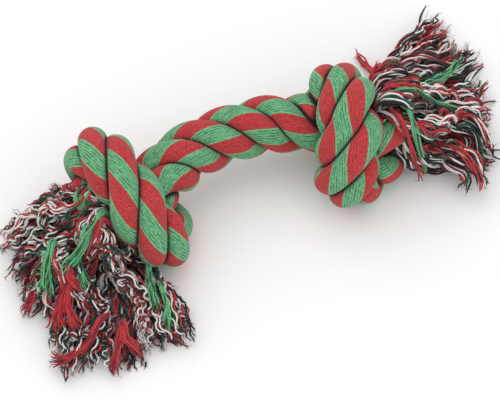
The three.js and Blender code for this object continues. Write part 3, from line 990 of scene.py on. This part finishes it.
class Lock:
    """One lock's middle line, from its root to its tip, and how thick it is there: the radius is
    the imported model's, and the spread is how far its yarns reach."""

    def __init__(self, side_name, number, root):
        node = f"{side_name}_lock_{number}"
        rings = rings_of(node, LOCK_SIDES)
        gaps = [np.linalg.norm(rings[i][0] - root) for i in (0, -1)]
        if gaps[1] < gaps[0]:
            rings = rings[::-1]
        middles = [r[0] for r in rings]
        way = middles[-1] - middles[-2]
        overrun = LOCK_OVERRUN[side_name]
        middles.append(middles[-1] + overrun * way / np.linalg.norm(way))
        places, at = spline(middles, YARN_STEP)
        places = smooth(places, LOCK_SMOOTHING)
        share = np.linspace(0, 1, len(places))[:, None]
        bow, tip = 4 * share * (1 - share), share**2
        for sweep, weight in zip(LOCK_SWEEPS.get(node, ()), (bow, tip)):
            places += weight * np.array((*sweep, 0))
        self.node = node
        self.places = places
        self.along = lengths_along(places)
        self.radius = np.interp(at, np.arange(len(rings)), [r[1] for r in rings])
        opened = ease(share[:, 0], TIP_START_SHARE, 1)
        widest = TIP_WIDTH_SHARE[side_name] * self.radius.max()
        self.spread = self.radius + (widest - self.radius) * opened
        self.travel = tangents(self.places)
        self.side, self.across = carried(self.travel)


def offset_by(lock, size, angle):
    """A way across a lock, of that size at each place and at that angle."""
    x, y = (size * f(angle) for f in (np.cos, np.sin))
    return x[:, None] * lock.side + y[:, None] * lock.across


def fill_lock(bundle, lock, crimp, mix):
    """A lock's yarns, in plies: groups that keep together the crimp that the rope's twist set."""
    loose = ease(lock.along, *LOOSENING)
    turn = rng.choice([-1, 1]) * rng.uniform(*LOCK_TWISTS) * lock.along / LOCK_TWIST_LENGTH
    for k in range(PLIES_PER_LOCK):
        share, angle = seat_in_round(k, PLIES_PER_LOCK)
        seat = offset_by(lock, lock.spread * PLY_SEAT_SHARE * share, angle + turn)
        length = crimp["length"] * rng.uniform(*PLY_CRIMP_LENGTHS)
        drift = wander(len(lock.along), crimp["drift"])
        phase = rng.uniform(0, 2 * np.pi)
        ply_size = crimp["size"] * rng.uniform(*PLY_CRIMP_SIZES)
        lean = rng.uniform(0, np.pi)
        ply_turn = 2 * np.pi * lock.along / crimp["ply_lead"]
        tones = picked(mix, YARNS_PER_PLY)
        for j in range(YARNS_PER_PLY):
            swing = phase + rng.normal(0, crimp["disorder"])
            swing += 2 * np.pi * lock.along / (length * rng.uniform(*YARN_CRIMP_LENGTHS))
            size = ply_size * rng.uniform(*YARN_CRIMP_SIZES) * loose
            share, angle = seat_in_round(j, YARNS_PER_PLY)
            spot = PLY_SPREAD * share * (PLY_ROOT_SHARE + (1 - PLY_ROOT_SHARE) * loose)
            line = lock.places + seat + drift + offset_by(lock, spot, angle + ply_turn)
            line += offset_by(lock, size * np.cos(swing), lean)
            line += offset_by(lock, CROSS_CRIMP * size * np.sin(swing), lean + np.pi / 2)
            line += (AXIAL_CRIMP * size * np.sin(2 * swing))[:, None] * lock.travel
            line += wander(len(line), YARN_DRIFT_SHARE * crimp["drift"], YARN_DRIFT_TURNS)
            line[0] -= lock.travel[0] * ROOT_DEPTH
            keep = int(len(line) * rng.uniform(SHORTEST_YARN_SHARE, 1))
            # Painted shade: yarns that lie low in the lock are painted darker, and their frayed
            # ends with them.
            height = (line[:, 2] - lock.places[:, 2]) / lock.spread
            painted_light = DEEP_PAINTED_SHADE + (1 - DEEP_PAINTED_SHADE) * ease(height, *DEEP_PAINTED_SHADE_HEIGHTS)
            yarn(bundle, line[:keep], tones[j], painted_light[:keep])


def draped(way, tops, radii, clearance):
    """A line along a way seen from above, clear of everything of that radius about those places,
    with its root dipped into it."""
    line, _ = spline([(x, y, 0) for x, y in way], YARN_STEP)
    for place in line:
        flat = np.hypot(tops[:, 0] - place[0], tops[:, 1] - place[1])
        over = flat < radii
        rise = tops[over, 2] + np.sqrt(radii[over] ** 2 - flat[over] ** 2)
        place[2] = rise.max(initial=YARN_RADIUS)
    line[:, 2] = smooth(line[:, 2], DRAPE_SMOOTHING) + clearance
    risen = ease(np.arange(len(line)) * YARN_STEP, 0, ROOT_DIP_LENGTH)
    line[:, 2] -= ROOT_DIP * (1 - risen)
    return line


def fill_tuft(bundle, middle_line, width, mix, crimp, yarns):
    """A tuft of that many yarns side by side along a line, fanned out at its tip."""
    side, across = carried(tangents(middle_line))
    count = len(middle_line)
    opened = ease(np.arange(count), TUFT_FAN_START * count, count)
    fan = width / 2 * (TUFT_ROOT_SHARE + TUFT_FAN_SHARE * opened)
    turns = 2 * np.pi * np.arange(count) * YARN_STEP / TUFT_CRIMP_LENGTH
    tones = picked(mix, yarns)
    for j in range(yarns):
        share, angle = seat_in_round(j, yarns)
        spread = fan * share
        line = middle_line + (spread * math.cos(angle))[:, None] * side * TUFT_FLATNESS
        line += (spread * math.sin(angle))[:, None] * across
        line += wander(count, TUFT_DRIFT)
        swing = rng.uniform(0, 2 * np.pi) + turns
        line += crimp * (np.cos(swing)[:, None] * side + np.sin(swing)[:, None] * across)
        keep = int(count * rng.uniform(SHORTEST_TUFT_SHARE, 1))
        yarn(bundle, line[:keep], tones[j], np.ones(keep))


def curl_from(lock):
    """The way of a curl thrown aside by a lock, seen from above."""
    index = int(len(lock.places) * rng.uniform(*CURL_STARTS))
    heading = math.atan2(lock.travel[index][1], lock.travel[index][0])
    bend = rng.choice([-1, 1]) * rng.uniform(*CURL_BENDS)
    heading -= CURL_BENDS_AWAY * bend
    way = [lock.places[index][:2]]
    for _ in range(CURL_PLACES):
        way.append(way[-1] + CURL_STEP * np.array((math.cos(heading), math.sin(heading))))
        heading += bend
    return way


for side_name in ("left", "right"):
    joint = joints[f"{side_name}_tassel_lift"]
    root = hinge(joint["name"])
    out = np.cross(np.array([0, 0, 1]), np.array(joint["axis"]))
    crimp = CRIMPS[side_name]
    locks = [Lock(side_name, number, root) for number in range(1, LOCK_COUNT + 1)]
    tail = int(TAIL_LENGTH[side_name] / STRAND_STEP)
    tops = np.vstack([lock.places for lock in locks] + [s.places[:tail] for s in strands])
    reaches = np.concatenate([lock.radius for lock in locks] + [s.core[:tail] for s in strands])
    bundles = []
    for i, lock in enumerate(locks):
        bundle = Bundle()
        slot = ("light_core_yarn", "dark_core_yarn")[i // LOCKS_PER_MIX % 2]
        mix = YARN_MIXES[slot]
        fill_lock(bundle, lock, crimp, mix)
        for width, *way in LOCK_TUFTS.get(lock.node, ()):
            line = draped(way, tops, reaches, CURL_CLEARANCE)
            fill_tuft(bundle, line, width, mix, CURL_CRIMP, CURL_YARNS)
        for _ in range(crimp["curls"]):
            line = draped(curl_from(lock), tops, reaches, CURL_CLEARANCE)
            fill_tuft(bundle, line, CURL_WIDTH, mix, CURL_CRIMP, CURL_YARNS)
        bundles.append((lock.node, bundle, slot))
    for node, tufts in STRIP_TUFTS.items():
        if not node.startswith(side_name):
            continue
        bundle = Bundle()
        slot = "red_cover_yarn" if "red" in node else "green_cover_yarn"
        mix = YARN_MIXES[slot]
        for width, *way in tufts:
            line = draped(way, tops, reaches, STRIP_CLEARANCE[side_name])
            fill_tuft(bundle, line, width, mix, STRIP_CRIMP, STRIP_YARNS[side_name])
        bundles.append((node, bundle, slot))
    for node, bundle, slot in bundles:
        piece = bundle.piece(f"{node}_yarns")
        blend(piece, f"{side_name}_knot", f"{side_name}_tassel", root, root + TASSEL_BEND * out)
        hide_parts(node)


# Floor, light and camera


def look_at(obj, target):
    obj.rotation_euler = (target - obj.location).to_track_quat("-Z", "Y").to_euler()


def paper_floor(reach):
    m = NodeMaterial("paper")
    grain = m.nodes.new("ShaderNodeTexNoise")
    m.feed(grain.inputs["Scale"], PAPER_GRAIN)
    share = m.ranged(grain.outputs["Fac"], PAPER_GRAIN_RANGE)
    m.feed(m.bsdf.inputs["Base Color"], m.mixed(share, *PAPER_TINTS))
    m.feed(m.bsdf.inputs["Roughness"], PAPER_ROUGHNESS)
    mesh = bpy.data.meshes.new("floor")
    corners = [(-reach, -reach, 0), (reach, -reach, 0), (reach, reach, 0), (-reach, reach, 0)]
    mesh.from_pydata(corners, [], [(0, 1, 2, 3)])
    mesh.materials.append(m.material)
    floor = bpy.data.objects.new("floor", mesh)
    bpy.context.scene.collection.objects.link(floor)
    return floor


def soft_light(name, place, width, power):
    light = bpy.data.lights.new(name, "AREA")
    light.shape = "SQUARE"
    light.size = width
    light.energy = power
    obj = bpy.data.objects.new(name, light)
    obj.location = Vector(place)
    bpy.context.scene.collection.objects.link(obj)
    look_at(obj, Vector())


paper_floor(FLOOR_REACH_M)

world = bpy.data.worlds.new("studio")
bpy.context.scene.world = world
world.use_nodes = True
background = world.node_tree.nodes["Background"]
background.inputs["Color"].default_value = (1, 1, 1, 1)
background.inputs["Strength"].default_value = ROOM_LIGHT

for name, (place, width, power) in SOFT_LIGHTS.items():
    soft_light(name, place, width, power)

camera_data = bpy.data.cameras.new("camera")
camera_data.sensor_width = SENSOR_MM
camera_data.lens = SENSOR_MM * VIEW_DISTANCE_MM / VIEW_WIDTH_MM
camera_data.clip_end = SIGHT_LIMIT_M
camera = bpy.data.objects.new("camera", camera_data)
bpy.context.scene.collection.objects.link(camera)
target = Vector(VIEW_TARGET_MM) * MM
elevation = math.radians(VIEW_ELEVATION_DEG)
away = Vector((0, -math.cos(elevation), math.sin(elevation)))
camera.location = target + away * VIEW_DISTANCE_MM * MM
look_at(camera, target)
bpy.context.scene.camera = camera
bpy.context.scene.view_settings.view_transform = "Standard"
